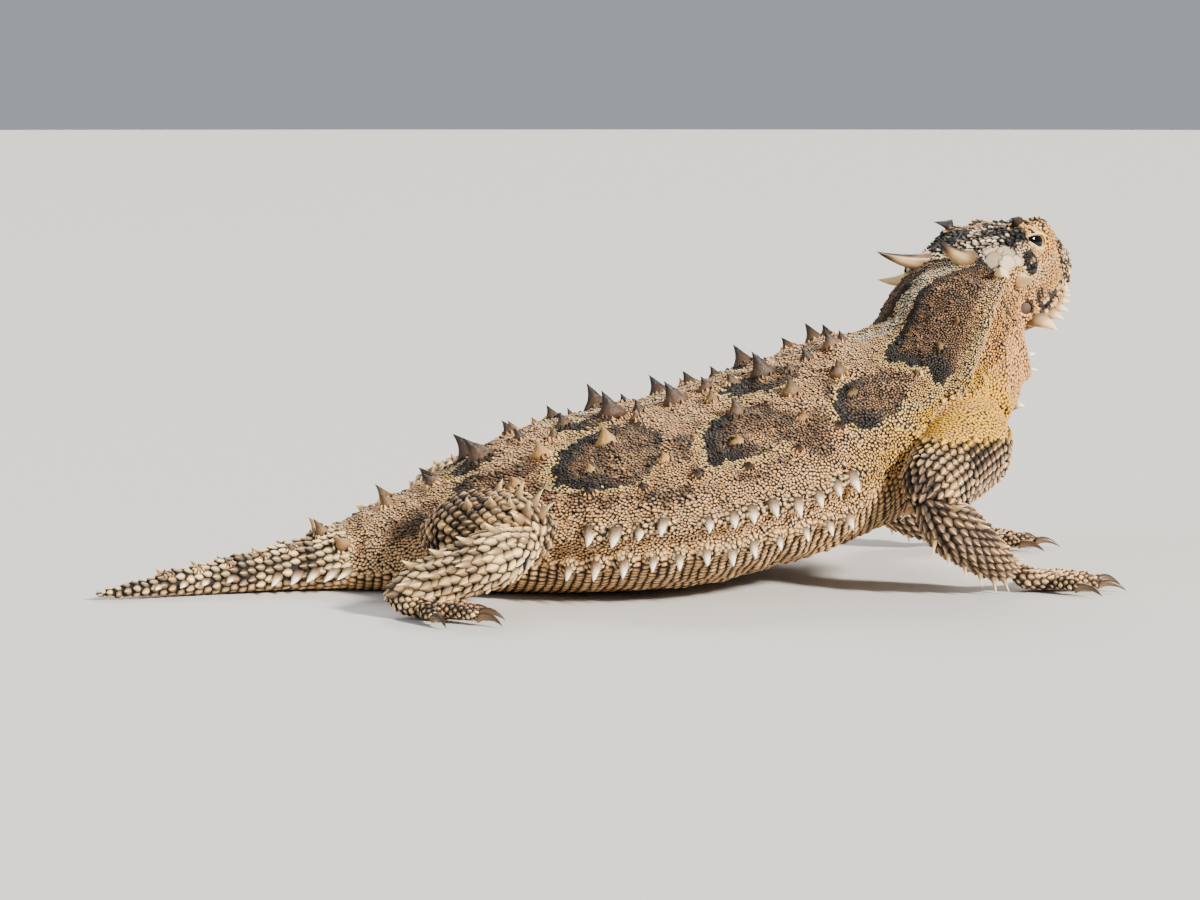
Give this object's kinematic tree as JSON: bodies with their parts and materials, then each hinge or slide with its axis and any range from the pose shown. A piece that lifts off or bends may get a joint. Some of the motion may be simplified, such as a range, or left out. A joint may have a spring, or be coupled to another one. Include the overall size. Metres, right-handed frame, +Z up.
{
  "type": "texas horned lizard",
  "caption": "Life-size horned lizard lying on its belly, fore body raised and head turned up to its left, with horns, spines and side fringes.",
  "frame": {"origin": "middle of the base of the whole model, on the floor", "axes": "+X along the body towards the head, +Y to the animal's left, +Z up"},
  "size_m": [0.125, 0.0684, 0.0439],
  "materials": {
    "skin_body": "dry granular scales, tan and brown with dark blotches",
    "skin_head": "dry head plates, tan with black and white marks",
    "skin_limb": "dry keeled scales, cream and tan with brown bands",
    "horn": "smooth tan horn with darker tips",
    "claw": "smooth tan claws",
    "eye": "wet and glossy, nearly black"
  },
  "bodies": {
    "root": {"tail_tip": "skin_body", "tail_base": "skin_body", "trunk_rear": "skin_body", "trunk_front": "skin_body", "neck": "skin_body", "head": "skin_head", "upper_arm_left": "skin_limb", "upper_arm_right": "skin_limb", "forearm_left": "skin_limb", "forearm_right": "skin_limb", "hand_left": "skin_limb", "hand_right": "skin_limb", "thigh_left": "skin_limb", "thigh_right": "skin_limb", "shank_left": "skin_limb", "shank_right": "skin_limb", "foot_left": "skin_limb", "foot_right": "skin_limb", "horn_occipital_left": "horn", "horn_occipital_right": "horn", "horn_temporal_rear_left": "horn", "horn_temporal_rear_right": "horn", "horn_temporal_front_left": "horn", "horn_temporal_front_right": "horn", "eye_left": "eye", "eye_right": "eye"}
  },
  "joints": []
}
